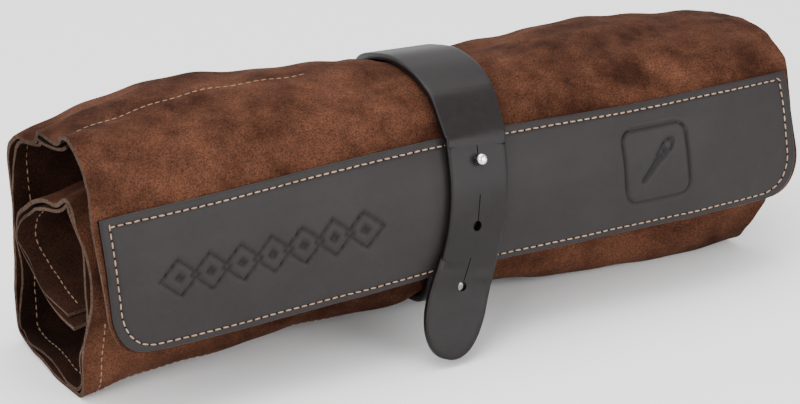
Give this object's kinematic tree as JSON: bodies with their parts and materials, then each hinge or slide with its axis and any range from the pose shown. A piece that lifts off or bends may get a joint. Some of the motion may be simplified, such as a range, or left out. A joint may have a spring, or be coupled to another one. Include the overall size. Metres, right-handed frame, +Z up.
{
  "type": "brush roll case",
  "caption": "Rolled suede brush and tool case with pockets, a smooth leather front band and a wrap strap that buttons on a stud.",
  "frame": {"origin": "on the floor under the middle of the whole object's box", "axes": "+X along the roll to the end with the pocket mouths, +Y to the back, +Z up; the flap and the stud face -Y"},
  "size_m": [0.35, 0.1177, 0.1216],
  "materials": {
    "suede": "brushed nap, matt",
    "suede_inside": "brushed nap, matt, darker inside",
    "smooth_leather": "smooth, satin",
    "thread": "waxed twist",
    "metal": "polished"
  },
  "bodies": {
    "roll": {"sheet_back": "suede", "sheet_bottom": "suede", "sheet_inner_front": "suede", "sheet_inner_top": "suede", "sheet_inner_back": "suede", "sheet_inner_end": "suede", "pocket_2": "suede_inside", "pocket_3": "suede_inside", "pocket_4": "suede_inside", "pocket_5": "suede_inside", "pocket_6": "suede_inside", "pocket_7": "suede_inside", "pocket_8": "suede_inside", "pocket_end_2": "suede_inside", "pocket_end_3": "suede_inside", "pocket_end_4": "suede_inside", "pocket_end_5": "suede_inside", "pocket_end_6": "suede_inside", "pocket_end_7": "suede_inside", "pocket_end_8": "suede_inside", "pocket_side_seams_roll": "suede_inside", "hem_stitching_back": "thread", "strap_anchor": "smooth_leather", "strap_rivets": "metal", "strap_under": "smooth_leather", "strap_back": "smooth_leather"},
    "top_panel": {"sheet_top": "suede", "pocket_1": "suede_inside", "pocket_end_1": "suede_inside", "pocket_side_seams_top": "suede_inside", "pocket_edge_stitching": "thread", "hem_stitching_top": "thread", "strap_over_top": "smooth_leather"},
    "flap": {"sheet_flap_upper": "suede", "sheet_flap_lower": "suede", "front_band": "smooth_leather", "band_stitching": "thread", "stud_button": "metal", "stud_screw": "metal", "strap_corner": "smooth_leather"},
    "strap_end": {"strap_shoulder": "smooth_leather", "strap_front": "smooth_leather", "strap_tail": "smooth_leather"}
  },
  "joints": [
    {"name": "top_opening", "type": "hinge", "parent": "roll", "child": "top_panel", "pos_m": [0, 0.0589, 0.10138], "axis": [-1, 0, 0], "range_deg": [0, 120]},
    {"name": "flap_opening", "type": "hinge", "parent": "top_panel", "child": "flap", "pos_m": [0, -0.00808, 0.12158], "axis": [-1, 0, 0], "range_deg": [0, 84]},
    {"name": "strap_lift", "type": "hinge", "parent": "flap", "child": "strap_end", "pos_m": [0, -0.01692, 0.11378], "axis": [-1, 0, 0], "range_deg": [0, 110]}
  ],
  "couplings": [
    {"joint": "flap_opening", "follows": "top_opening", "ratio": 0.7}
  ]
}
